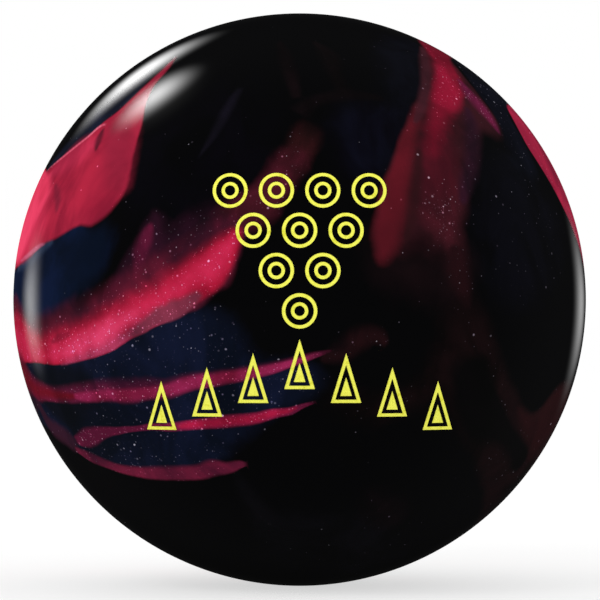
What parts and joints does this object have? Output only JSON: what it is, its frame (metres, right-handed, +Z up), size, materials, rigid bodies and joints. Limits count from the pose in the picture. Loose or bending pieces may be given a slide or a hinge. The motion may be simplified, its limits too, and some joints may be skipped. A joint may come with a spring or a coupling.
{
  "type": "bowling ball",
  "caption": "Undrilled ten-pin bowling ball in marbled polished resin, cast in layers around a weight block.",
  "frame": {"origin": "centre of the ball", "axes": "+Z up the weight block's axis to the pin, -Y out of the decorated face, +X towards the side mark"},
  "size_m": [0.2169, 0.217, 0.217],
  "materials": {
    "marbled_resin": "polished pearl resin, black and navy swirled with crimson",
    "filler_resin": "cast filled resin",
    "block_resin": "cast dense resin",
    "pin_resin": "polished resin, flush with the ball",
    "yellow_paint": "satin paint in an engraved line",
    "white_paint": "satin paint in an engraved dot"
  },
  "bodies": {
    "root": {"coverstock": "marbled_resin", "outer_core": "filler_resin", "weight_block": "block_resin", "pin_plug": "pin_resin", "pin_spot_fill": "yellow_paint", "lane_arrow_fill": "yellow_paint", "side_mark_fill": "yellow_paint", "balance_dot_fill": "white_paint"}
  },
  "joints": []
}
